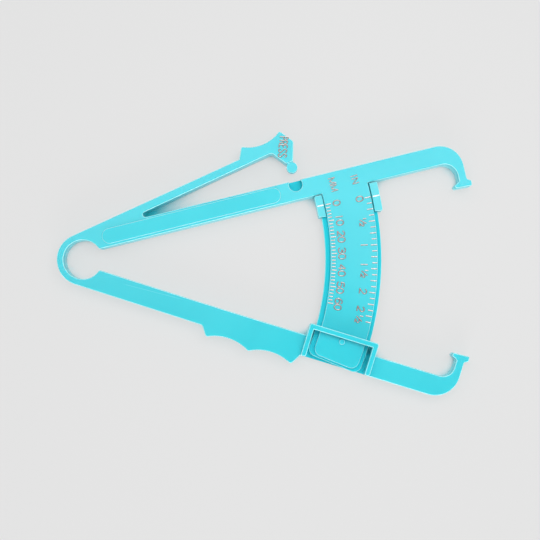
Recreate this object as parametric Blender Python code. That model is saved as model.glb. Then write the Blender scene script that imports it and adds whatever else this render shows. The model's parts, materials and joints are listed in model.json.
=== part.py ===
"""Skinfold caliper: a one-piece sprung frame with a thumb lever, and the slider on its scale blade.

Plan coordinates are taken about the axis of the C-shaped spring at the narrow end, with +X along
the line midway between the arms and +Z out of the face that carries the scale. An arm is drawn by
its reach, the distance out along the arm from the spring's axis, and its offset outward from the
line that leaves that axis along the arm.
"""

import math

import bmesh
import bpy
from mathutils import Matrix, Vector

mm = 0.001

# Whole moulding
plate_thickness = 7.5 * mm
rim_fillet = 0.5 * mm
small_fillet = 0.3 * mm
fillet_steps = 3
arc_sag = 0.02 * mm
coarsest_step = math.radians(24)
running_gap = 0.3 * mm
flexure_gap = 0.3 * mm
cut_overrun = 2.0 * mm
seam_inset = 0.12 * mm

# C-shaped spring joining the two arms
ring_inner_radius = 7.8 * mm
ring_wall = 2.65 * mm
ring_root_angle = 121.0
cusp_round = 0.7 * mm

# Upper arm, which carries the scale blade and the thumb lever
upper_arm_angle = 15.5
upper_inner_offset = 2.5 * mm
upper_root_width = 8.1 * mm
upper_jaw_width = 7.65 * mm
upper_reach = 157.1 * mm

# Lower arm, which carries the finger grip and the guide loop
lower_arm_angle = 15.4
lower_inner_offset = 2.6 * mm
lower_root_offset = 2.05 * mm
lower_width = 8.55 * mm
lower_reach = 158.1 * mm
knee_reach = 60.0 * mm

# Jaws, each a hooked leg with a pad whose flat face lies on a ray from the spring's axis
pad_ray_angle = 12.45
leg_width = 3.2 * mm
toe_length = 1.5 * mm
toe_depth = 2.1 * mm
toe_flare = 0.8 * mm
heel_length = 1.9 * mm
heel_depth = 1.1 * mm
heel_flare = 1.4 * mm
pad_corner = 0.6 * mm
upper_bend_outer = 9.6 * mm
upper_bend_inner = 5.5 * mm
lower_bend_outer = 10.2 * mm
lower_bend_inner = 4.7 * mm

# Thumb lever, a strip that leaves the spring's outer wall and ends in a pad with a snap knob
lever_angle = 26.2
lever_end_depth = 3.1 * mm
slot_reach = 28.7 * mm
slot_end_radius = 1.0 * mm
hinge_lead = 1.2 * mm
thumb_lead = 1.5 * mm
thumb_ramp = 2.9 * mm
thumb_height = 4.3 * mm
thumb_span = 16.5 * mm
thumb_fall = 0.6 * mm
thumb_hollow = 2.4 * mm
thumb_corner = 0.8 * mm
nose_lead = 4.9 * mm
nose_offset = 8.0 * mm
nose_corner = 1.4 * mm
heel_setback = 5.0 * mm
foot_width = 3.1 * mm
foot_offset = 1.0 * mm
knob_reach = 91.5 * mm
knob_offset = -1.3 * mm
knob_radius = 2.2 * mm
knob_height = 3.2 * mm
knob_drop = 0.1 * mm
neck_width = 2.4 * mm
socket_clearance = 0.5 * mm
throat_clearance = 0.35 * mm
press_angle = 6.6

# Raised capsule panel on the upper arm
capsule_start = 9.7 * mm
capsule_setback = 8.3 * mm
capsule_half_width = 3.1 * mm
capsule_rise = 0.5 * mm
capsule_fillet = 0.35 * mm

# Scale blade, curved about the spring's axis: a raised panel between two lower flanges
blade_radius = 97.2 * mm
blade_width = 22.6 * mm
inner_flange_width = 2.1 * mm
outer_flange_width = 1.7 * mm
blade_thickness = 4.3 * mm
flange_thickness = 2.4 * mm
panel_step = 0.03 * mm
flange_end_angle = -21.0
panel_end_angle = -20.5
blade_root_angle = 18.0
blade_corner = 3.2 * mm
pip_radius = 1.15 * mm
pip_rise = 1.0 * mm
pip_place_share = 0.515

# Slider, a C-section clipped round the blade
slider_inner_wall = 1.0 * mm
slider_outer_wall = 1.6 * mm
slider_near_length = 8.5 * mm
slider_far_length = 11.85 * mm
slider_back = 1.4 * mm
slider_rise = 0.5 * mm
lip_gap = 0.4 * mm
slider_corner = 0.5 * mm

# Guide loop on the lower arm, an inverted U over the channel that the blade passes through
loop_near_space = 0.6 * mm
loop_leg = 2.1 * mm
loop_bar = 2.15 * mm
loop_overhang = 5.1 * mm
loop_far_space = 1.2 * mm
loop_bar_depth = 2.95 * mm
loop_bar_gap = 0.35 * mm
loop_corner = 0.9 * mm
loop_undercut = 0.55 * mm
channel_gap = 0.4 * mm

# Finger grip, two hollows between three peaks on the lower arm's outer edge
grip_ramp = 2.75 * mm
grip_fall = 2.65 * mm
grip_pitch = 17.85 * mm
grip_first_height = 4.05 * mm
grip_height = 4.55 * mm
grip_hollow = 2.3 * mm
grip_corner = 1.2 * mm

# Fine ribs across the finger grip and the thumb pad
rib_pitch = 0.9 * mm
rib_depth = 0.25 * mm
rib_land = 0.05 * mm
rib_margin = 1.3 * mm

plastic = (0.107, 0.766, 0.876)
plastic_roughness = 0.32
sharp_angle = math.radians(35)

axis_point = Vector((0, 0))
quarter_turn = 90.0
half_turn = 180.0
full_turn = 360.0
ring_outer_radius = ring_inner_radius + ring_wall
gap_angle = math.degrees(flexure_gap / ring_inner_radius)
arm_root_angle = ring_root_angle - gap_angle
lower_outer_offset = lower_inner_offset + lower_width
blade_outer_radius = blade_radius + blade_width
panel_inner_radius = blade_radius + inner_flange_width
panel_outer_radius = blade_outer_radius - outer_flange_width
blade_bottom = plate_thickness - blade_thickness
flange_top = blade_bottom + flange_thickness
panel_top = plate_thickness - panel_step
bar_bottom = plate_thickness + loop_bar_gap
channel_floor = blade_bottom - channel_gap
loop_top = bar_bottom + loop_bar_depth
loop_inner_edge = lower_inner_offset - loop_overhang
loop_start = blade_radius - loop_near_space - loop_leg
loop_end = blade_outer_radius + loop_far_space + loop_leg
slider_inner_radius = blade_radius - running_gap - slider_inner_wall
slider_outer_radius = blade_outer_radius + running_gap + slider_outer_wall
heel_reach = knob_reach - heel_setback
nose_reach = knob_reach + nose_lead
thumb_peak_reach = knob_reach + thumb_lead
capsule_end = knob_reach - capsule_setback
grip_end = loop_start - grip_fall
grip_start = grip_end - 2 * grip_pitch - grip_ramp
knob_top = plate_thickness - knob_drop
knob_bottom = knob_top - knob_height
slider_top = plate_thickness + slider_rise


def turned(point, degrees):
    """The plan point turned about the spring's axis."""
    angle = math.radians(degrees)
    return Vector((
        point.x * math.cos(angle) - point.y * math.sin(angle),
        point.x * math.sin(angle) + point.y * math.cos(angle),
    ))


def polar(radius, degrees):
    return turned(Vector((radius, 0)), degrees)


def heading(point):
    return math.degrees(math.atan2(point.y, point.x))


def on_upper(reach, offset):
    return turned(Vector((reach, offset)), upper_arm_angle)


def on_lower(reach, offset):
    return turned(Vector((reach, -offset)), -lower_arm_angle)


def on_lever(reach, offset):
    return turned(Vector((reach, offset)), lever_angle)


def at_radius(place, radius, offset):
    """The place on a circle about the spring's axis, at this offset from an arm's line."""
    return place(math.sqrt(radius ** 2 - offset ** 2), offset)


def swept(centre, first, degrees):
    """Points of the arc that first draws as it turns about the centre, both ends included."""
    spoke = first - centre
    finest = 2 * math.acos(1 - arc_sag / spoke.length)
    steps = max(1, math.ceil(abs(math.radians(degrees)) / min(finest, coarsest_step)))
    return [centre + turned(spoke, degrees * step / steps) for step in range(steps + 1)]


def arc(centre, radius, start, end):
    return swept(centre, centre + polar(radius, start), end - start)


def hollow(start, end, depth):
    """Points of the round hollow between two peaks, sunk to the right of the way between them."""
    half = (end - start) / 2
    radius = (half.length ** 2 + depth ** 2) / (2 * depth)
    left = Vector((-half.y, half.x)).normalized()
    centre = (start + end) / 2 + left * (radius - depth)
    return swept(centre, start, 2 * math.degrees(math.asin(half.length / radius)))[1:-1]


def rounded(*corners):
    """Outline through the corners. One that is given with a radius becomes an arc."""
    pairs = [corner if isinstance(corner, tuple) else (corner, 0) for corner in corners]
    outline = []
    for index, (corner, radius) in enumerate(pairs):
        if not radius:
            outline.append(corner)
            continue
        before = (pairs[index - 1][0] - corner).normalized()
        after = (pairs[(index + 1) % len(pairs)][0] - corner).normalized()
        half = before.angle(after) / 2
        centre = corner + (before + after).normalized() * (radius / math.sin(half))
        first = corner + before * (radius / math.tan(half))
        turn = math.copysign(half_turn - 2 * math.degrees(half), after.cross(before))
        outline += swept(centre, first, turn)
    return outline


def sector(inner, outer, start, end, corner=0):
    """Outline of a curved strip about the spring's axis. Its corners at the end can be rounded."""
    trim = math.degrees(corner / inner)
    return rounded(
        *arc(axis_point, outer, end + trim, start)[bool(corner):],
        *arc(axis_point, inner, start, end + trim)[:-1 if corner else None],
        *([(polar(inner, end), corner), (polar(outer, end), corner)] if corner else []),
    )


def plate(name, outline, bottom, top, fillet=0, square_ends=()):
    """Solid with a plan outline. Its rims are rounded, except along the square ends."""
    bm = bmesh.new()
    face = bm.faces.new([bm.verts.new((*point, bottom)) for point in outline])
    raised = bmesh.ops.extrude_face_region(bm, geom=[face])["geom"]
    lifted = [item for item in raised if isinstance(item, bmesh.types.BMVert)]
    bmesh.ops.translate(bm, vec=(0, 0, top - bottom), verts=lifted)
    bmesh.ops.recalc_face_normals(bm, faces=bm.faces)
    if fillet:
        level = [edge for edge in bm.edges if edge.verts[0].co.z == edge.verts[1].co.z]
        rims = [edge for edge in level if not any(lies_on(edge, end) for end in square_ends)]
        bmesh.ops.bevel(
            bm, geom=rims, offset=fillet, segments=fillet_steps, profile=0.5, affect="EDGES"
        )
    mesh = bpy.data.meshes.new(name)
    bm.to_mesh(mesh)
    bm.free()
    piece = bpy.data.objects.new(name, mesh)
    bpy.context.scene.collection.objects.link(piece)
    return piece


def lies_on(edge, line):
    """Whether both ends of the edge are on the line through two plan points."""
    start, end = line
    along = (end - start).normalized()
    return all(abs((vert.co.xy - start).cross(along)) < arc_sag for vert in edge.verts)


def combine(target, operation, *tools):
    """Joins the tools to the target, or cuts them from it, and keeps them out of sight."""
    for tool in tools:
        modifier = target.modifiers.new(f"{operation.lower()} {tool.name}", "BOOLEAN")
        modifier.operation = operation
        modifier.object = tool
        tool.display_type = "WIRE"
        tool.hide_render = True
        tool.parent = target


def finish(piece, frame, axis=axis_point):
    """Gives a sub-part its plastic and smooth faces, and an origin on its joint's axis."""
    material = bpy.data.materials.new(f"{piece.name} plastic")
    material.use_nodes = True
    shader = material.node_tree.nodes["Principled BSDF"]
    shader.inputs["Base Color"].default_value = (*plastic, 1)
    shader.inputs["Roughness"].default_value = plastic_roughness
    shader.inputs["Metallic"].default_value = 0
    for body in (piece, *piece.children_recursive):
        body.data.materials.append(material)
        body.data.transform(Matrix.Translation((-axis.x, -axis.y, 0)))
        body.data.shade_smooth()
        body.data.set_sharp_from_angle(angle=sharp_angle)
    piece.location = (*axis, 0)
    piece.parent = frame
    return piece


def stadium(start, end, half_width, middle, place):
    """Outline of a bar with round ends along an arm."""
    near, far = start + half_width, end - half_width
    return (
        swept(place(far, middle), place(far, middle - half_width), half_turn)
        + swept(place(near, middle), place(near, middle + half_width), half_turn)
    )


def disc(centre, radius):
    return arc(centre, radius, 0, full_turn)[:-1]


def jaw(place, leg_end, outer, inner, bend_outer, bend_inner, arm_angle):
    """Corners of a hooked jaw, from the arm's outer edge round its pad to the inner edge."""
    lean = math.tan(math.radians(arm_angle - pad_ray_angle))
    toe = leg_end + toe_length
    leg_start = leg_end - leg_width
    heel = leg_start - heel_length

    def above_face(reach, depth):
        return place(reach, depth - reach * lean)

    return (
        (place(leg_end, outer), bend_outer),
        (above_face(leg_end, toe_depth + toe_flare), pad_corner),
        (above_face(toe, toe_depth), pad_corner),
        (above_face(toe, 0), pad_corner),
        (above_face(heel, 0), pad_corner),
        (above_face(heel - heel_depth / 2, heel_depth), pad_corner),
        (above_face(leg_start, heel_depth + heel_flare), pad_corner),
        (place(leg_start, inner), bend_inner),
    )


def ribs(name, start, end, depth):
    """Cutter for the fine grooves across the hollow between two peaks."""
    curve = [start, *hollow(start, end, depth), end]
    spans = [(after - before).length for before, after in zip(curve, curve[1:])]
    count = int((sum(spans) - 2 * rib_margin) / rib_pitch)
    floor = []
    for number in range(2 * count + 1):
        left = rib_margin + rib_pitch * number / 2
        index = 0
        while left > spans[index]:
            left -= spans[index]
            index += 1
        along = (curve[index + 1] - curve[index]).normalized()
        sink = -rib_depth if number % 2 else rib_land
        floor.append(curve[index] + along * left + turned(along, quarter_turn) * sink)
    outward = turned(end - start, quarter_turn).normalized()
    open_side = [point + outward * cut_overrun for point in floor]
    return plate(name, floor + open_side[::-1], -cut_overrun, plate_thickness + cut_overrun)


def upper_outer(reach):
    """Offset of the upper arm's outer edge, which tapers towards the jaw."""
    width = upper_root_width + (upper_jaw_width - upper_root_width) * reach / upper_reach
    return upper_inner_offset + width


slot_end = on_upper(slot_reach, upper_outer(slot_reach) + slot_end_radius)
slot_start = turned(slot_end, -lever_angle) + Vector((0, slot_end_radius))


def strip_underside(reach):
    """Offset of the lever strip's inner edge, which runs from the slot's end to the pad's heel."""
    share = (reach - slot_start.x) / (heel_reach - slot_start.x)
    return slot_start.y + (ring_outer_radius - lever_end_depth - slot_start.y) * share


hinge_reach = slot_start.x + hinge_lead
lever_hinge = on_lever(hinge_reach, (ring_outer_radius + strip_underside(hinge_reach)) / 2)
knob_centre = on_lever(knob_reach, knob_offset)
socket_centre = lever_hinge + turned(knob_centre - lever_hinge, -press_angle)
loop_inside_radius = blade_radius - loop_near_space
loop_outside_radius = blade_outer_radius + loop_far_space + loop_undercut


def hinge_cut(side):
    """The two ends of one face of the lever's flexure cut."""
    reach = hinge_reach + side * flexure_gap / 2
    return on_lever(reach, ring_outer_radius), on_lever(reach, strip_underside(reach))


def ring_cut(radius_angle):
    return polar(ring_inner_radius, radius_angle), polar(ring_outer_radius, radius_angle)


def make_spring_hinge():
    outline = (
        arc(axis_point, ring_outer_radius, ring_root_angle, full_turn - ring_root_angle)
        + arc(axis_point, ring_inner_radius, full_turn - ring_root_angle, ring_root_angle)
    )
    ends = (ring_cut(ring_root_angle), ring_cut(-ring_root_angle))
    return plate("spring_hinge", outline, 0, plate_thickness, rim_fillet, ends)


def make_upper_arm():
    cusp = at_radius(on_upper, ring_inner_radius, upper_inner_offset)
    outline = rounded(
        (cusp, cusp_round),
        *arc(axis_point, ring_inner_radius, heading(cusp), arm_root_angle)[1:],
        *arc(axis_point, ring_outer_radius, arm_root_angle, lever_angle + quarter_turn),
        *hinge_cut(-1),
        *arc(
            slot_end, slot_end_radius,
            lever_angle + quarter_turn, full_turn + upper_arm_angle - quarter_turn,
        ),
        *jaw(
            on_upper, upper_reach, upper_outer(upper_reach), upper_inner_offset,
            upper_bend_outer, upper_bend_inner, upper_arm_angle,
        ),
    )
    cuts = (ring_cut(arm_root_angle), hinge_cut(-1))
    arm = plate("upper_arm", outline, 0, plate_thickness, rim_fillet, cuts)
    flange = plate(
        "blade_flange",
        sector(blade_radius, blade_outer_radius, blade_root_angle, flange_end_angle, blade_corner),
        blade_bottom, flange_top, small_fillet,
    )
    panel = plate(
        "blade_panel",
        sector(panel_inner_radius, panel_outer_radius, blade_root_angle, panel_end_angle, blade_corner),
        blade_bottom + small_fillet, panel_top, small_fillet,
    )
    pip_reach = blade_radius + blade_width * pip_place_share
    pip_place = on_lower(pip_reach, loop_inner_edge + loop_bar + running_gap + pip_radius)
    pip = plate(
        "pip", disc(pip_place, pip_radius), flange_top, plate_thickness + pip_rise, small_fillet
    )
    capsule = plate(
        "capsule",
        stadium(
            capsule_start, capsule_end, capsule_half_width,
            upper_inner_offset + upper_root_width / 2, on_upper,
        ),
        flange_top, plate_thickness + capsule_rise, capsule_fillet,
    )
    combine(arm, "UNION", flange, panel, pip, capsule)
    combine(arm, "DIFFERENCE", make_socket())
    return arm


def make_socket():
    """Blind pocket that the lever's knob snaps into through a throat in the arm's outer edge."""
    radius = knob_radius + socket_clearance
    half_throat = knob_radius + throat_clearance / 2
    middle = turned(socket_centre, -upper_arm_angle)
    spread = math.degrees(math.asin(half_throat / radius))
    bowl = arc(middle, radius, quarter_turn + spread, full_turn + quarter_turn - spread)
    mouth = [Vector((point.x, upper_outer(point.x) + cut_overrun)) for point in (bowl[-1], bowl[0])]
    outline = [turned(point, upper_arm_angle) for point in bowl + mouth]
    return plate("socket", outline, knob_bottom - running_gap, plate_thickness + cut_overrun)


def make_lower_arm():
    root = at_radius(on_lower, ring_inner_radius, lower_root_offset)
    knee = on_lower(grip_start, lower_outer_offset)
    tangent = heading(knee) - math.degrees(math.acos(ring_outer_radius / knee.length))
    first, second, third = (
        on_lower(grip_start + grip_ramp + grip_pitch * number, lower_outer_offset + height)
        for number, height in enumerate((grip_first_height, grip_height, grip_height))
    )
    outline = rounded(
        (root, cusp_round),
        *arc(axis_point, ring_inner_radius, heading(root), -arm_root_angle)[1:],
        *arc(axis_point, ring_outer_radius, -arm_root_angle, tangent),
        (knee, grip_corner),
        (first, grip_corner),
        *hollow(second, first, grip_hollow)[::-1],
        (second, grip_corner),
        *hollow(third, second, grip_hollow)[::-1],
        (third, grip_corner),
        on_lower(loop_start, lower_outer_offset),
        *jaw(
            on_lower, lower_reach, lower_outer_offset, lower_inner_offset,
            lower_bend_outer, lower_bend_inner, lower_arm_angle,
        ),
        on_lower(knee_reach, lower_inner_offset),
    )
    arm = plate(
        "lower_arm", outline, 0, plate_thickness, rim_fillet, [ring_cut(-arm_root_angle)]
    )
    loop = plate("loop", loop_outline(), seam_inset, loop_top, rim_fillet)
    combine(loop, "DIFFERENCE", passage("loop_passage", -cut_overrun))
    combine(arm, "DIFFERENCE", passage("arm_channel", channel_floor, seam_inset))
    combine(arm, "UNION", loop)
    combine(
        arm, "DIFFERENCE",
        ribs("front_grip_ribs", third, second, grip_hollow),
        ribs("rear_grip_ribs", second, first, grip_hollow),
    )
    return arm


def loop_outline():
    """Outline of the guide loop, with its two feet on the arm's outer edge."""
    inner_start, inner_end = loop_start + loop_leg, loop_end - loop_leg
    bar_edge = loop_inner_edge + loop_bar
    foot = lower_outer_offset - seam_inset
    return rounded(
        (on_lower(loop_start, loop_inner_edge), loop_corner),
        (on_lower(loop_end, loop_inner_edge), loop_corner),
        (on_lower(loop_end, foot), loop_corner),
        (on_lower(inner_end, foot), loop_corner),
        on_lower(inner_end, bar_edge),
        on_lower(inner_start, bar_edge),
        (on_lower(inner_start, foot), loop_corner),
        (on_lower(loop_start, foot), loop_corner),
    )


def passage(name, bottom, widening=0):
    """Cutter for the blade's way across the lower arm and under the loop's bar."""
    outline = sector(
        loop_inside_radius - widening, loop_outside_radius + widening,
        heading(on_lower(loop_start, loop_inner_edge - cut_overrun)),
        heading(on_lower(loop_start, lower_outer_offset + cut_overrun)),
    )
    return plate(name, outline, bottom, bar_bottom)


def make_press_lever():
    first = on_lever(thumb_peak_reach - thumb_span, ring_outer_radius + thumb_height)
    last = on_lever(thumb_peak_reach, ring_outer_radius + thumb_height - thumb_fall)
    outline = rounded(
        *hinge_cut(1)[::-1],
        on_lever(thumb_peak_reach - thumb_span - thumb_ramp, ring_outer_radius),
        (first, thumb_corner),
        *hollow(first, last, thumb_hollow),
        (last, thumb_corner),
        (on_lever(nose_reach, nose_offset), nose_corner),
        on_lever(knob_reach + foot_width / 2, foot_offset),
        on_lever(knob_reach - foot_width / 2, foot_offset),
        (on_lever(heel_reach, strip_underside(heel_reach)), nose_corner),
    )
    lever = plate("press_lever", outline, 0, plate_thickness, rim_fillet, [hinge_cut(1)])
    neck = [
        on_lever(knob_reach - neck_width / 2, knob_offset),
        on_lever(knob_reach + neck_width / 2, knob_offset),
        on_lever(knob_reach + neck_width / 2, nose_offset / 2),
        on_lever(knob_reach - neck_width / 2, nose_offset / 2),
    ]
    knob = plate("knob", disc(knob_centre, knob_radius), knob_bottom, knob_top, small_fillet)
    combine(
        knob, "UNION",
        plate("neck", neck, knob_bottom + small_fillet, knob_top - small_fillet),
    )
    combine(lever, "UNION", knob)
    combine(lever, "DIFFERENCE", ribs("thumb_ribs", first, last, thumb_hollow))
    return lever


def make_slider():
    """C-section whose back passes behind the blade and whose lips lie over its flanges."""
    top = upper_inner_offset - running_gap
    inner_top = at_radius(on_upper, slider_inner_radius, top)
    inner_end = at_radius(on_upper, slider_inner_radius, top - slider_near_length)
    outer_top = at_radius(on_upper, slider_outer_radius, top)
    outer_end = at_radius(on_upper, slider_outer_radius, top - slider_far_length)
    inside = arc(axis_point, slider_inner_radius, heading(inner_top), heading(inner_end))
    outside = arc(axis_point, slider_outer_radius, heading(outer_end), heading(outer_top))
    outline = rounded(
        (inside[0], slider_corner), *inside[1:-1], (inside[-1], slider_corner),
        (outside[0], slider_corner), *outside[1:-1], (outside[-1], slider_corner),
    )
    past = math.degrees(cut_overrun / slider_inner_radius)
    start, end = heading(inner_top) + past, heading(outer_end) - past
    channel = sector(blade_radius - running_gap, blade_outer_radius + running_gap, start, end)
    window = sector(panel_inner_radius - lip_gap, panel_outer_radius + lip_gap, start, end)
    back_top = blade_bottom - running_gap
    slider = plate("slider", outline, back_top - slider_back, slider_top, small_fillet)
    combine(
        slider, "DIFFERENCE",
        plate("channel", channel, back_top, flange_top + running_gap),
        plate("window", window, back_top + running_gap, slider_top + cut_overrun),
    )
    return slider


def centre_on_rest(frame, pieces):
    """Moves the frame so that the middle of the footprint is the scene's origin."""
    graph = bpy.context.evaluated_depsgraph_get()
    graph.update()
    points = [
        piece.matrix_world @ vert.co
        for piece in pieces
        for vert in piece.evaluated_get(graph).data.vertices
    ]
    for axis in range(2):
        values = [point[axis] for point in points]
        frame.location[axis] = -(min(values) + max(values)) / 2


def main():
    for thing in list(bpy.data.objects):
        bpy.data.objects.remove(thing)
    frame = bpy.data.objects.new("caliper_frame", None)
    bpy.context.scene.collection.objects.link(frame)
    pieces = [
        finish(make_upper_arm(), frame),
        finish(make_spring_hinge(), frame),
        finish(make_lower_arm(), frame),
        finish(make_press_lever(), frame, lever_hinge),
        finish(make_slider(), frame),
    ]
    centre_on_rest(frame, pieces)


main()
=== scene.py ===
import json
from math import atan2, cos, degrees, radians, sin

import bmesh
import bpy
from mathutils import Matrix, Vector


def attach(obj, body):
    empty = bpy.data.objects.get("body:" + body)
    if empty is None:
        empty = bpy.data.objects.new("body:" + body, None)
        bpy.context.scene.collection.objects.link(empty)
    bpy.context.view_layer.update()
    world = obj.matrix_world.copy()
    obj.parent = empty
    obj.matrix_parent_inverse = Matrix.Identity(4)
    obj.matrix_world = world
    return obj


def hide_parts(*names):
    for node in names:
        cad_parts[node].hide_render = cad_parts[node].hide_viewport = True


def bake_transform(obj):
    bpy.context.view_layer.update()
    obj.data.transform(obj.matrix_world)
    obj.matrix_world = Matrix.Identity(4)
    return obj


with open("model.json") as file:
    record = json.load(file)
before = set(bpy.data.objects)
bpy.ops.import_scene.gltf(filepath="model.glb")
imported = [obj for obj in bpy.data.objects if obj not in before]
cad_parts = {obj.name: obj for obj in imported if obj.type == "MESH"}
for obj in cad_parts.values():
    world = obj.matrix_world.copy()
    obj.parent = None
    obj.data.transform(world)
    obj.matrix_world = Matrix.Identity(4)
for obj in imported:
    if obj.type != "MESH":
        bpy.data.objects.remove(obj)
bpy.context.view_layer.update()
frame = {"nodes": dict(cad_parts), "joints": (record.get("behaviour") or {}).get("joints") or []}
mm = 0.001


def jointPlace(name):
    joint = next(joint for joint in frame["joints"] if joint["name"] == name)
    return Vector((joint["pos_m"][0], joint["pos_m"][1], 0))


springAxis = jointPlace("jaw_close")
leverHinge = jointPlace("lever_press")


def polarPlace(radius, angle):  # a place by radius and angle about the spring's axis
    turn = radians(angle)
    return springAxis + Vector((radius * cos(turn), radius * sin(turn), 0))


# Camera: straight down from a bit below the middle, as the photograph was taken

cameraView = {
    "lens": 64.26, "sensor": 36.0, "fromAxis": (0.078799, -0.021136, 0.393),
    "roll": 1.65, "shift": (-0.0148, 0.0889), "clip": (0.01, 20),
}


def setCamera():
    data = bpy.data.cameras.new("camera")
    data.sensor_width = cameraView["sensor"]
    data.lens = cameraView["lens"]
    data.shift_x, data.shift_y = cameraView["shift"]
    data.clip_start, data.clip_end = cameraView["clip"]
    camera = bpy.data.objects.new("camera", data)
    bpy.context.collection.objects.link(camera)
    camera.location = springAxis + Vector(cameraView["fromAxis"])
    camera.rotation_euler = (0, 0, radians(cameraView["roll"]))
    bpy.context.scene.camera = camera


setCamera()
bpy.context.scene.view_settings.view_transform = "Standard"
print("camera set")


# Shader nodes written as sums

class Link:
    def __init__(self, paint, socket):
        self.paint = paint
        self.socket = socket

    def maths(self, operation, first, second):
        return self.paint.node("ShaderNodeMath", {"operation": operation}, {0: first, 1: second})

    def __add__(self, other):
        return self.maths("ADD", self, other)

    def __radd__(self, other):
        return self.maths("ADD", other, self)

    def __sub__(self, other):
        return self.maths("SUBTRACT", self, other)

    def __rsub__(self, other):
        return self.maths("SUBTRACT", other, self)

    def __mul__(self, other):
        return self.maths("MULTIPLY", self, other)

    def __rmul__(self, other):
        return self.maths("MULTIPLY", other, self)

    def __gt__(self, other):
        return self.maths("GREATER_THAN", self, other)

    def __abs__(self):
        return self.maths("ABSOLUTE", self, 0)

    def upTo(self, most):
        return self.maths("MINIMUM", self, most)


class Paint:
    def __init__(self, tree):
        self.tree = tree

    # Adds any node: settings first, then its sockets' values or links. Gives one output back.
    def node(self, kind, settings, sockets, output=0):
        made = self.tree.nodes.new(kind)
        for key, value in settings.items():
            setattr(made, key, value)
        for key, value in sockets.items():
            self.feed(made.inputs[key], value)
        return Link(self, made.outputs[output])

    def feed(self, socket, value):
        if isinstance(value, Link):
            self.tree.links.new(value.socket, socket)
        else:
            socket.default_value = value

    def mixColours(self, amount, first, second):
        return self.node(
            "ShaderNodeMix", {"data_type": "RGBA"},
            {0: amount, 6: first, 7: second}, output=2,
        )

    def smoothStep(self, value, low, high):
        return self.node(
            "ShaderNodeMapRange", {"interpolation_type": "SMOOTHSTEP"},
            {"Value": value, "From Min": low, "From Max": high},
        )

    def noise(self, where, scale, detail=2.0, roughness=0.5, distortion=0.0):
        return self.node(
            "ShaderNodeTexNoise", {},
            {"Vector": where, "Scale": scale, "Detail": detail,
             "Roughness": roughness, "Distortion": distortion},
        )

    def onObject(self):
        return self.node("ShaderNodeTexCoord", {}, {}, output="Object")

    def part(self, vector, axis):
        return self.node("ShaderNodeSeparateXYZ", {}, {"Vector": vector}, output=axis)

    def placed(self, where, turn=0.0, scale=(1, 1, 1)):
        return self.node(
            "ShaderNodeMapping", {},
            {"Vector": where, "Rotation": (0, 0, radians(turn)), "Scale": scale},
        )


def newMaterial(name):
    material = bpy.data.materials.new(name)
    material.use_nodes = True
    paint = Paint(material.node_tree)
    paint.shader = material.node_tree.nodes["Principled BSDF"]
    return material, paint


def colour(red, green, blue):
    return (red, green, blue, 1)


# Moulded turquoise plastic: polished outer faces, plainer recesses, a painted highlight on
# rounded edges and painted light on low walls, faint flow clouds and hairline scuffs

mouldedPlastic = {
    "frame": {
        "light": colour(0.028, 0.615, 0.71), "dark": colour(0.018, 0.575, 0.672),
        "edge": colour(0.46, 0.93, 0.96), "fleck": colour(0.20, 0.80, 0.87), "roughness": 0.36,
        "wallPaintedLight": 0.42, "wallCoat": 0.35,
    },
    "slider": {
        "light": colour(0.095, 0.65, 0.73), "dark": colour(0.08, 0.62, 0.70),
        "edge": colour(0.48, 0.93, 0.96), "fleck": colour(0.26, 0.84, 0.89), "roughness": 0.34,
        "wallPaintedLight": 0.0, "wallCoat": 0.0,
    },
    "edgeFlat": (0.78, 0.995), "edgeWall": (0.02, 0.40), "edgeShare": 0.85,
    "wall": (0.2, 0.6), "wallUpTo": (3.4 * mm, 6.2 * mm),
    "polished": (6.2 * mm, 7.2 * mm), "satin": (7.6 * mm, 7.85 * mm), "satinShare": 0.35,
    "back": (0.3 * mm, 1.2 * mm), "specular": 0.1, "coatIor": 1.6, "coatRoughness": 0.15,
    "glow": 0.2, "glowReach": 2.0 * mm, "glowTint": (0.15, 1.0, 1.0),
    "cloudScale": 28.0, "cloudLevels": (0.3, 0.7), "cloudRough": 0.12,
    "rippleScale": 420.0, "rippleDepth": 0.04 * mm, "rippleStrength": 0.12,
    "grainScale": 2600.0, "grainRough": 0.05, "grainDepth": 0.12,
    "fleckScale": 150.0, "fleckSize": (0.05, 0.085), "fleckShare": 0.90, "fleckPale": 0.9,
    "scratchStart": (-57.2 * mm, -10.6 * mm, 0), "scratchTurn": -13.0,
    "scratchWidth": (0.04 * mm, 0.16 * mm), "scratchFrom": (0, 4 * mm),
    "scratchEnd": (20 * mm, 29 * mm), "scratchPale": 0.35,
    "scuffTurn": 17.0, "scuffStretch": (22, 900, 22), "scuffLevels": (0.665, 0.73),
    "patchScale": 46.0, "patchLevels": (0.5, 0.62),
    "scuffPale": 0.2, "scuffRough": 0.2, "scuffDepth": 0.5,
}


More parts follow.
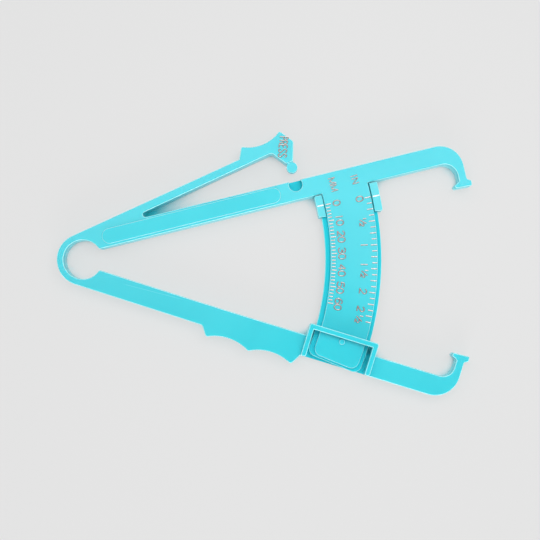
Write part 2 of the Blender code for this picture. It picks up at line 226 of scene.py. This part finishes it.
def plasticMaterial(name, tones):
    look = mouldedPlastic
    material, paint = newMaterial(name)
    shader = paint.shader
    where = paint.onObject()
    clouds = paint.noise(where, look["cloudScale"], detail=3.0, distortion=0.6)
    body = paint.mixColours(
        paint.smoothStep(clouds, *look["cloudLevels"]), tones["dark"], tones["light"],
    )
    normal = paint.node("ShaderNodeTexCoord", {}, {}, output="Normal")
    upright = abs(paint.part(normal, "Z"))
    height = paint.part(where, "Z")
    # painted highlight: rounded rims between a wall and a flat face get the pale colour
    edge = (
        paint.smoothStep(upright, *look["edgeWall"])
        * (1 - paint.smoothStep(upright, *look["edgeFlat"]))
    )
    wall = (
        (1 - paint.smoothStep(upright, *look["wall"]))
        * (1 - paint.smoothStep(height, *look["wallUpTo"]))
    )
    # painted highlight on rounded rims and painted light on low walls, mixed into the colour
    # here
    pale = edge * look["edgeShare"] + wall * tones["wallPaintedLight"]
    body = paint.mixColours(pale, body, tones["edge"])
    cells = {"Vector": where, "Scale": look["fleckScale"]}
    near = paint.node("ShaderNodeTexVoronoi", {}, cells, output="Distance")
    lot = paint.node("ShaderNodeTexVoronoi", {}, cells, output="Color")
    flecks = (1 - paint.smoothStep(near, *look["fleckSize"])) * (lot > look["fleckShare"])
    top = paint.smoothStep(height, *look["polished"])
    along = paint.placed(where, look["scuffTurn"], look["scuffStretch"])
    hairs = paint.noise(along, 1.0, detail=4.0, roughness=0.6)
    patches = paint.smoothStep(paint.noise(where, look["patchScale"]), *look["patchLevels"])
    scuffs = paint.smoothStep(hairs, *look["scuffLevels"]) * patches
    run = paint.node(
        "ShaderNodeMapping", {"vector_type": "TEXTURE"},
        {"Vector": where, "Location": look["scratchStart"],
         "Rotation": (0, 0, radians(look["scratchTurn"]))},
    )
    ahead = paint.part(run, "X")
    scratch = (
        (1 - paint.smoothStep(abs(paint.part(run, "Y")), *look["scratchWidth"]))
        * paint.smoothStep(ahead, *look["scratchFrom"])
        * (1 - paint.smoothStep(ahead, *look["scratchEnd"])) * top
    )
    marks = (
        flecks * look["fleckPale"] + scuffs * look["scuffPale"] + scratch * look["scratchPale"]
    )
    paint.feed(shader.inputs["Base Color"], paint.mixColours(marks, body, tones["fleck"]))
    satin = paint.smoothStep(height, *look["satin"]) * look["satinShare"]
    back = 1 - paint.smoothStep(height, *look["back"])
    varnish = top * (1 - satin) + back + wall * tones["wallCoat"]
    paint.feed(shader.inputs["Coat Weight"], varnish.upTo(1))
    grain = paint.noise(where, look["grainScale"], detail=1.0)
    paint.feed(
        shader.inputs["Roughness"],
        tones["roughness"] + (clouds - 0.5) * look["cloudRough"]
        + (grain - 0.5) * look["grainRough"] + scuffs * look["scuffRough"],
    )
    ripple = paint.noise(where, look["rippleScale"])
    relief = ripple + grain * look["grainDepth"] - scuffs * look["scuffDepth"]
    ripples = paint.node(
        "ShaderNodeBump", {},
        {"Strength": look["rippleStrength"], "Distance": look["rippleDepth"], "Height": relief},
        output="Normal",
    )
    paint.feed(shader.inputs["Normal"], ripples)
    shader.inputs["Specular IOR Level"].default_value = look["specular"]
    shader.inputs["Coat IOR"].default_value = look["coatIor"]
    shader.inputs["Coat Roughness"].default_value = look["coatRoughness"]
    shader.inputs["Subsurface Weight"].default_value = look["glow"]
    shader.inputs["Subsurface Scale"].default_value = look["glowReach"]
    shader.inputs["Subsurface Radius"].default_value = look["glowTint"]
    return material


framePlastic = plasticMaterial("turquoise moulded plastic", mouldedPlastic["frame"])
sliderPlastic = plasticMaterial("turquoise slider plastic", mouldedPlastic["slider"])


# Silver foil pressed onto the raised marks, with painted shade on the sides turned from the
# light

pressedFoil = {
    "bright": colour(0.97, 0.88, 0.85), "dull": colour(0.84, 0.75, 0.72),
    "paintedShade": colour(0.15, 0.125, 0.12),
    "ticks": {"litSide": (-0.65, -0.15), "across": (0.25, 0.70)},
    "figures": {"litSide": (-0.35, 0.15), "across": (0.03, 0.33)},
    "worn": colour(0.16, 0.70, 0.78), "wearScale": 1700.0, "wearLevels": (0.68, 0.74),
    "blotchScale": 900.0, "blotchLevels": (0.35, 0.65), "blotchRough": 0.25,
    "roughness": 0.26, "metal": 0.25, "creaseDepth": 0.03 * mm, "creaseStrength": 0.35,
}


def foilMaterial(name, light):
    look = pressedFoil
    material, paint = newMaterial(name)
    where = paint.onObject()
    blotch = paint.noise(where, look["blotchScale"], detail=3.0, roughness=0.6)
    silver = paint.mixColours(
        paint.smoothStep(blotch, *look["blotchLevels"]), look["dull"], look["bright"],
    )
    normal = paint.node("ShaderNodeTexCoord", {}, {}, output="Normal")
    # painted shade: strokes darken on sides turned from the light and where they run towards it
    paintedLitShare = (
        paint.smoothStep(paint.part(normal, "Y"), *light["litSide"])
        * (1 - paint.smoothStep(abs(paint.part(normal, "X")), *light["across"]))
    )
    silver = paint.mixColours(paintedLitShare, look["paintedShade"], silver)
    wear = paint.smoothStep(paint.noise(where, look["wearScale"]), *look["wearLevels"])
    paint.feed(paint.shader.inputs["Base Color"], paint.mixColours(wear, silver, look["worn"]))
    paint.feed(paint.shader.inputs["Metallic"], look["metal"] * (1 - wear))
    paint.feed(
        paint.shader.inputs["Roughness"],
        look["roughness"] + (blotch - 0.5) * look["blotchRough"],
    )
    creases = paint.node(
        "ShaderNodeBump", {},
        {"Strength": look["creaseStrength"], "Distance": look["creaseDepth"], "Height": blotch},
        output="Normal",
    )
    paint.feed(paint.shader.inputs["Normal"], creases)
    return material


# White print of the index lines

whiteFilm = {
    "thin": colour(0.86, 0.85, 0.84), "full": colour(0.97, 0.96, 0.95),
    "scale": 1400.0, "roughness": 0.34, "filmRough": 0.12,
}


def printMaterial():
    look = whiteFilm
    material, paint = newMaterial("white print")
    film = paint.noise(paint.onObject(), look["scale"])
    paint.feed(
        paint.shader.inputs["Base Color"], paint.mixColours(film, look["thin"], look["full"]),
    )
    paint.feed(
        paint.shader.inputs["Roughness"], look["roughness"] + film * look["filmRough"],
    )
    return material


tickFoil = foilMaterial("silver foil on the ticks", pressedFoil["ticks"])
figureFoil = foilMaterial("silver foil on the figures", pressedFoil["figures"])
whitePrint = printMaterial()
print("materials made")


# The moulding's pieces, each from a merged copy of its solid

copying = {"weld": 0.002 * mm, "flat": 0.3, "smooth": 40.0, "evenness": 80}


def pickAll(piece):
    bpy.ops.object.select_all(action="DESELECT")
    bpy.context.view_layer.objects.active = piece
    piece.select_set(True)
    bpy.ops.object.mode_set(mode="EDIT")
    bpy.ops.mesh.select_mode(type="VERT")
    bpy.ops.mesh.select_all(action="SELECT")


def pickPoints(piece, wanted):
    pickAll(piece)
    bpy.ops.mesh.select_all(action="DESELECT")
    mesh = bmesh.from_edit_mesh(piece.data)
    for point in mesh.verts:
        point.select = wanted(point.co)
    mesh.select_flush_mode()
    bmesh.update_edit_mesh(piece.data)


def leaveEdit():
    bpy.ops.object.mode_set(mode="OBJECT")


def mergedCopy(node, name):
    piece = bpy.data.objects.new(name, frame["nodes"][node].data.copy())
    bpy.context.collection.objects.link(piece)
    pickAll(piece)
    bpy.ops.mesh.customdata_custom_splitnormals_clear()
    bpy.ops.mesh.remove_doubles(threshold=copying["weld"])
    bpy.ops.mesh.dissolve_limited(angle_limit=radians(copying["flat"]))
    leaveEdit()
    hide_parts(node)
    return piece


def smoothAndPaint(piece, material):
    bpy.ops.object.select_all(action="DESELECT")
    bpy.context.view_layer.objects.active = piece
    piece.select_set(True)
    bpy.ops.object.shade_smooth_by_angle(angle=radians(copying["smooth"]))
    weighted = piece.modifiers.new("even faces", "WEIGHTED_NORMAL")
    weighted.keep_sharp = True
    weighted.weight = copying["evenness"]
    bpy.ops.object.modifier_apply(modifier=weighted.name)
    piece.data.materials.clear()
    piece.data.materials.append(material)


upperFrame = mergedCopy("upper_arm", "upperFrame")
lowerArm = mergedCopy("lower_arm", "lowerArm")
springRing = mergedCopy("spring_hinge", "springRing")
pressLever = mergedCopy("press_lever", "pressLever")
indexSlider = mergedCopy("slider", "indexSlider")


# The rim of the knob's socket in the upper arm is eased

socketRim = {
    "fromAxis": (0.084297, 0.032423, 0), "radius": 2.7 * mm, "within": 0.06 * mm,
    "faceHeight": 7.5 * mm, "ease": 0.45 * mm, "steps": 3,
}


def easeSocket():
    look = socketRim
    middle = springAxis + Vector(look["fromAxis"])
    pickPoints(
        upperFrame,
        lambda place: abs((place.xy - middle.xy).length - look["radius"]) < look["within"]
        and abs(place.z - look["faceHeight"]) < look["within"],
    )
    bpy.ops.mesh.select_mode(type="EDGE")
    bpy.ops.mesh.bevel(offset=look["ease"], segments=look["steps"], profile=0.5, affect="EDGES")
    leaveEdit()


easeSocket()


# The spring's ends reach the two arms, so that the moulding is unbroken

springEnds = {"angle": 121.0, "within": 0.3, "gap": 0.3 * mm, "radius": 7.8 * mm}


def bearing(place):
    return degrees(atan2(place.y - springAxis.y, place.x - springAxis.x))


for side in (1, -1):
    pickPoints(
        springRing,
        lambda place: abs(bearing(place) - side * springEnds["angle"]) < springEnds["within"],
    )
    # with no window a positive value turns clockwise
    bpy.ops.transform.rotate(
        value=side * springEnds["gap"] / springEnds["radius"],
        orient_axis="Z", center_override=springAxis,
    )
    leaveEdit()


# The lever's strip reaches the arm, and is cut across where it bends

leverStrip = {"angle": 26.2, "gap": 0.3 * mm, "bend": 9.0 * mm, "cuts": 9}
alongLever = Vector((cos(radians(leverStrip["angle"])), sin(radians(leverStrip["angle"])), 0))
stripStart = leverHinge - alongLever * leverStrip["gap"] / 2
stripEnd = stripStart + alongLever * leverStrip["bend"]

pickPoints(
    pressLever,
    lambda place: (place - leverHinge).dot(alongLever) < leverStrip["gap"],
)
bpy.ops.transform.translate(value=-alongLever * leverStrip["gap"])
leaveEdit()
for number in range(1, leverStrip["cuts"] + 1):
    pickAll(pressLever)
    bpy.ops.mesh.bisect(
        plane_co=stripStart.lerp(stripEnd, number / (leverStrip["cuts"] + 1)),
        plane_no=alongLever,
    )
    leaveEdit()

for piece in (upperFrame, lowerArm, springRing, pressLever):
    smoothAndPaint(piece, framePlastic)
smoothAndPaint(indexSlider, sliderPlastic)

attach(upperFrame, "upper_frame")
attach(lowerArm, "lower_jaw")
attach(indexSlider, "index_slider")
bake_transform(springRing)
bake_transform(pressLever)
print("moulding copied and joined")


# Raised marks: thin round strokes that stand partly in the face, copied from models

panelTop = 7.47 * mm    # heights of the three faces that carry marks
armTop = 7.5 * mm
lipTop = 8.0 * mm
raisedStroke = {"sides": 3, "steps": 5, "sunk": 0.3, "weld": 0.0005 * mm, "smooth": 60.0}


def strokeModel(strokes, width, height, thickness):
    bpy.ops.object.select_all(action="DESELECT")
    bpy.ops.curve.primitive_bezier_curve_add(location=(0, 0, 0))
    model = bpy.context.active_object
    curve = model.data
    curve.splines.clear()
    curve.bevel_depth = thickness / 2
    curve.bevel_resolution = raisedStroke["sides"]
    curve.use_fill_caps = True
    for kind, *knots in strokes:
        runs = zip(knots, knots[1:]) if kind == "straight" else [knots]
        for run in runs:
            line = curve.splines.new("BEZIER")
            line.bezier_points.add(len(run) - 1)
            line.use_cyclic_u = kind == "loop"
            line.resolution_u = 1 if kind == "straight" else raisedStroke["steps"]
            for knot, (x, y) in zip(line.bezier_points, run):
                knot.co = (x * width, y * height, 0)
                knot.handle_left_type = knot.handle_right_type = (
                    "VECTOR" if kind == "straight" else "AUTO"
                )
    bpy.ops.object.convert(target="MESH")
    model = bpy.context.active_object
    pickAll(model)
    bpy.ops.mesh.remove_doubles(threshold=raisedStroke["weld"])
    bpy.ops.mesh.normals_make_consistent(inside=False)
    bpy.ops.transform.translate(value=(0, 0, -thickness / 2 * raisedStroke["sunk"]))
    leaveEdit()
    return model


def copyAt(model, place, angle, offset=(0, 0, 0)):
    copy = bpy.data.objects.new(model.name, model.data.copy())
    bpy.context.collection.objects.link(copy)
    spot = Matrix.Translation((place.x, place.y, 0)) @ Matrix.Rotation(radians(angle), 4, "Z")
    copy.data.transform(spot @ Matrix.Translation(offset))
    return copy


def joined(parts, name, material, body):
    bpy.ops.object.select_all(action="DESELECT")
    for part in parts:
        part.select_set(True)
    bpy.context.view_layer.objects.active = parts[0]
    bpy.ops.object.join()
    piece = bpy.context.active_object
    piece.name = name
    bpy.ops.object.shade_smooth_by_angle(angle=radians(raisedStroke["smooth"]))
    piece.data.materials.clear()
    piece.data.materials.append(material)
    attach(piece, body)


def forget(models):
    for model in models:
        bpy.data.objects.remove(model)


# Ticks of the two scales

tickThickness = 0.54 * mm
millimetreScale = {
    "zero": 14.34, "step": 0.756, "count": 31, "inner": 99.7 * mm,
    "long": 2.05 * mm, "short": 1.5 * mm,
}
inchScale = {
    "zero": 13.94, "step": 1.1765, "count": 22, "outer": 117.9 * mm,
    "first": 2.4 * mm, "long": 2.4 * mm, "short": 1.95 * mm,
}


def tickModels(lengths):
    return {
        length: strokeModel([("straight", (0, 0), (1, 0))], length, 1, tickThickness)
        for length in sorted(set(lengths))
    }


def millimetreTicks():
    look = millimetreScale
    models = tickModels((look["long"], look["short"]))
    ticks = []
    for number in range(look["count"]):
        length = look["short"] if number % 5 else look["long"]
        angle = look["zero"] - look["step"] * number
        place = polarPlace(look["inner"], angle)
        ticks.append(copyAt(models[length], place, angle, (0, 0, panelTop)))
    forget(models.values())
    joined(ticks, "millimetreTicks", tickFoil, "upper_frame")


def inchTicks():
    look = inchScale
    models = tickModels((look["first"], look["long"], look["short"]))
    ticks = []
    for number in range(look["count"]):
        length = look["first"] if number == 0 else look["short"] if number % 2 else look["long"]
        angle = look["zero"] - look["step"] * number
        place = polarPlace(look["outer"] - length, angle)
        ticks.append(copyAt(models[length], place, angle, (0, 0, panelTop)))
    forget(models.values())
    joined(ticks, "inchTicks", tickFoil, "upper_frame")


millimetreTicks()
inchTicks()
print("ticks raised")


# Figures and letters, drawn as strokes in a box one wide and one high, upright with the jaws
# at the top

letterStrokes = {
    "0": [("loop", (0, 0.5), (0.5, 1), (1, 0.5), (0.5, 0))],
    "1": [("straight", (0, 0), (0, 1))],
    "2": [("round", (0.03, 0.76), (0.48, 1), (0.97, 0.74), (0.62, 0.36), (0, 0)),
          ("straight", (0, 0), (1, 0))],
    "3": [("round", (0.04, 0.83), (0.48, 1), (0.92, 0.77), (0.40, 0.54)),
          ("round", (0.40, 0.54), (1, 0.27), (0.48, 0), (0, 0.18))],
    "4": [("straight", (0.72, 0), (0.72, 1), (0, 0.29), (1, 0.29))],
    "5": [("straight", (0.92, 1), (0.14, 1), (0.05, 0.52)),
          ("round", (0.05, 0.52), (0.52, 0.64), (1, 0.31), (0.47, 0), (0, 0.17))],
    "6": [("round", (0.93, 0.86), (0.53, 1), (0.05, 0.62), (0.02, 0.33), (0.5, 0),
           (0.98, 0.32), (0.5, 0.62), (0.03, 0.36))],
    "½": [("straight", (0, 0.53), (0, 1)), ("straight", (0.10, 0.05), (0.70, 0.95)),
          ("round", (0.52, 0.44), (0.75, 0.57), (0.99, 0.43), (0.80, 0.21), (0.50, 0)),
          ("straight", (0.50, 0), (1, 0))],
    "I": [("straight", (0, 0), (0, 1))],
    "M": [("straight", (0, 0), (0, 1), (0.5, 0.05), (1, 1), (1, 0))],
    "N": [("straight", (0, 0), (0, 1), (1, 0), (1, 1))],
    "P": [("straight", (0, 0), (0, 1), (0.5, 1)), ("straight", (0, 0.47), (0.5, 0.47)),
          ("round", (0.5, 1), (1, 0.735), (0.5, 0.47))],
    "R": [("straight", (0, 0), (0, 1), (0.5, 1)), ("straight", (0, 0.47), (0.5, 0.47)),
          ("round", (0.5, 1), (1, 0.735), (0.5, 0.47)), ("straight", (0.5, 0.47), (1, 0))],
    "E": [("straight", (1, 1), (0, 1), (0, 0), (1, 0)), ("straight", (0, 0.52), (0.85, 0.52))],
    "S": [("round", (0.97, 0.80), (0.5, 1), (0.04, 0.76), (0.5, 0.5), (0.96, 0.24), (0.5, 0),
           (0.02, 0.20))],
}
scaleLetters = {
    "height": 2.82 * mm, "thickness": 0.54 * mm, "gap": 0.45 * mm,
    "widths": {"0": 2.0 * mm, "1": 0.95 * mm, "2": 2.1 * mm, "3": 2.15 * mm, "4": 2.1 * mm,
               "5": 2.1 * mm, "6": 2.15 * mm, "½": 2.8 * mm, "I": 0},
}
unitLetters = {
    "height": 2.70 * mm, "thickness": 0.43 * mm, "gap": 0.60 * mm,
    "widths": {"M": 2.3 * mm, "I": 0.5 * mm, "N": 1.95 * mm},
}
pressLetters = {
    "height": 3.25 * mm, "thickness": 0.56 * mm, "gap": 0.46 * mm,
    "widths": {"P": 1.05 * mm, "R": 1.25 * mm, "E": 1.15 * mm, "S": 1.45 * mm},
}

# each figure's distance from the spring's axis in millimetres, and its angle
figureRows = (
    ("0", 104.1, 14.21), ("10", 104.0, 10.17), ("20", 103.9, 6.73), ("30", 103.8, 3.02),
    ("40", 103.8, -0.75), ("50", 103.7, -4.58), ("60", 103.8, -8.27),
    ("0", 113.4, 13.98), ("½", 113.2, 9.16), ("I", 112.8, 4.59), ("I", 112.65, 0.61),
    ("½", 112.9, -1.28), ("2", 112.9, -4.80), ("2", 113.0, -8.43), ("½", 113.1, -10.57),
)
unitRows = (("MM", 104.6, 18.33), ("IN", 113.5, 18.02))
pressWord = {"fromAxis": (0.07885, 0.04725, 0), "angle": -92.8}


def label(text, look, place, angle, surface):
    along = -(sum(look["widths"][letter] for letter in text) + look["gap"] * (len(text) - 1)) / 2
    copies = []
    for letter in text:
        width = look["widths"][letter]
        model = strokeModel(letterStrokes[letter], width, look["height"], look["thickness"])
        copies.append(copyAt(model, place, angle, (along, -look["height"] / 2, surface)))
        forget([model])
        along += width + look["gap"]
    return copies


def labelRows(rows, look, surface):
    return [
        letter
        for text, radius, angle in rows
        for letter in label(text, look, polarPlace(radius * mm, angle), angle - 90, surface)
    ]


joined(
    labelRows(figureRows, scaleLetters, panelTop),
    "scaleFigures", figureFoil, "upper_frame",
)
joined(
    labelRows(unitRows, unitLetters, armTop),
    "unitLetters", figureFoil, "upper_frame",
)
pressPlace = springAxis + Vector(pressWord["fromAxis"])
joined(
    label("PRESS", pressLetters, pressPlace, pressWord["angle"], armTop),
    "pressLetters", figureFoil, "lever",
)
print("figures raised")


# Index lines printed on the slider's two lips

indexPrint = {
    "width": 0.5 * mm, "rise": 0.06 * mm, "sink": 0.06 * mm, "bevel": 0.04 * mm, "steps": 2,
}
# each line's inner and outer radius, and its angle
indexLines = ((96.25 * mm, 98.75 * mm, 14.36), (118.75 * mm, 121.35 * mm, 13.88))


def printedLine(inner, outer, angle):
    look = indexPrint
    bpy.ops.object.select_all(action="DESELECT")
    bpy.ops.mesh.primitive_cube_add(
        size=1, location=((outer - inner) / 2, 0, lipTop + (look["rise"] - look["sink"]) / 2),
        scale=(outer - inner, look["width"], look["rise"] + look["sink"]),
    )
    line = bpy.context.active_object
    bpy.ops.object.transform_apply(location=True, rotation=True, scale=True)
    pickAll(line)
    bpy.ops.mesh.bevel(offset=look["bevel"], segments=look["steps"], profile=0.5, affect="EDGES")
    leaveEdit()
    placed = copyAt(line, polarPlace(inner, angle), angle)
    forget([line])
    return placed


joined(
    [printedLine(*line) for line in indexLines],
    "indexLines", whitePrint, "index_slider",
)
print("index lines printed")


# Pale table and soft light from all round, with a brighter panel overhead, a dark opening where
# the photograph was taken from, a broad lamp, a low one in front and a small near one

studio = {
    "table": colour(0.76, 0.76, 0.76), "tableSize": 6.0, "shadowKept": 0.22,
    "hollow": (0.20, 0.48), "hollowReach": 9.0 * mm, "hollowSamples": 16,
    "hollowPaintedShade": colour(0.03, 0.60, 0.68),
    "sky": 0.50, "horizon": 0.45, "horizonUpTo": (0.05, 0.45), "aloft": (0, 0.3),
    "panel": 1.38, "panelNear": (-0.06, 0.12), "panelFar": (0.42, 0.62),
    "panelSides": (0.50, 0.75),
    "opening": (0.04, -0.02, 0), "openingSize": (0.03, 0.075), "openingDark": 1.0,
    "broad": {"place": (-0.40, 0.50, 0.70), "size": (0.60, 0.45), "power": 0.45},
    "front": {"place": (0.10, -0.80, 0.30), "size": (0.70, 0.30), "power": 3.0},
    "near": {"place": (0.075, 0.06, 0.24), "size": (0.12, 0.12), "power": 0.165},
}


# The table glows like a lit sweep, keeps a share of its shadows, and has a painted teal shade
# where the plastic closes it in
def setTable():
    bpy.ops.object.select_all(action="DESELECT")
    bpy.ops.mesh.primitive_plane_add(size=studio["tableSize"], location=(0, 0, 0))
    table = bpy.context.active_object
    table.name = "table"
    material = bpy.data.materials.new("pale table")
    material.use_nodes = True
    tree = material.node_tree
    tree.nodes.clear()
    paint = Paint(tree)
    glow = paint.node("ShaderNodeEmission", {}, {"Color": studio["table"], "Strength": 1.0})
    seen, mirrored, through = (
        paint.node("ShaderNodeLightPath", {}, {}, output=ray)
        for ray in ("Is Camera Ray", "Is Glossy Ray", "Is Transmission Ray")
    )
    clear = paint.node(
        "ShaderNodeAmbientOcclusion", {"samples": studio["hollowSamples"]},
        {"Distance": studio["hollowReach"]}, output="AO",
    )
    outside = paint.smoothStep(clear, *studio["hollow"])
    lit = seen * outside * (1 - studio["shadowKept"]) + mirrored * outside + through
    # painted teal shade: the table darkens to the plastic's tint where the plastic closes it in
    hollowShadeColour = paint.mixColours(outside, studio["hollowPaintedShade"], studio["table"])
    matt = paint.node("ShaderNodeBsdfDiffuse", {}, {"Color": hollowShadeColour})
    shown = paint.node("ShaderNodeMixShader", {}, {0: lit, 1: matt, 2: glow})
    end = tree.nodes.new("ShaderNodeOutputMaterial")
    tree.links.new(shown.socket, end.inputs["Surface"])
    table.data.materials.append(material)


def setLight():
    world = bpy.data.worlds.new("soft studio")
    bpy.context.scene.world = world
    world.use_nodes = True
    tree = world.node_tree
    tree.nodes.clear()
    paint = Paint(tree)
    direction = paint.node("ShaderNodeTexCoord", {}, {}, output="Generated")
    across, along, up = (paint.part(direction, axis) for axis in "XYZ")
    above = paint.smoothStep(up, *studio["aloft"])
    panel = (
        paint.smoothStep(along, *studio["panelNear"])
        * (1 - paint.smoothStep(along, *studio["panelFar"]))
        * (1 - paint.smoothStep(abs(across), *studio["panelSides"])) * above
    )
    low = 1 - paint.smoothStep(up, *studio["horizonUpTo"])
    away = paint.node(
        "ShaderNodeVectorMath", {"operation": "DISTANCE"},
        {0: paint.placed(direction, scale=(1, 1, 0)), 1: studio["opening"]}, output="Value",
    )
    dark = (1 - paint.smoothStep(away, *studio["openingSize"])) * above * studio["openingDark"]
    bright = studio["sky"] + panel * studio["panel"] + low * studio["horizon"]
    sky = paint.node(
        "ShaderNodeBackground", {},
        {"Color": colour(1, 1, 1), "Strength": bright * (1 - dark)},
    )
    end = tree.nodes.new("ShaderNodeOutputWorld")
    tree.links.new(sky.socket, end.inputs["Surface"])


def addLamp(name):
    look = studio[name]
    lamp = bpy.data.lights.new(name + " lamp", "AREA")
    lamp.shape = "RECTANGLE"
    lamp.size, lamp.size_y = look["size"]
    lamp.energy = look["power"]
    holder = bpy.data.objects.new(name + " lamp", lamp)
    bpy.context.collection.objects.link(holder)
    holder.location = look["place"]
    holder.rotation_euler = (-Vector(look["place"])).to_track_quat("-Z", "Y").to_euler()
    holder.visible_camera = False
    holder.visible_glossy = name != "near"


setTable()
setLight()
addLamp("broad")
addLamp("front")
addLamp("near")
print("table and light set")
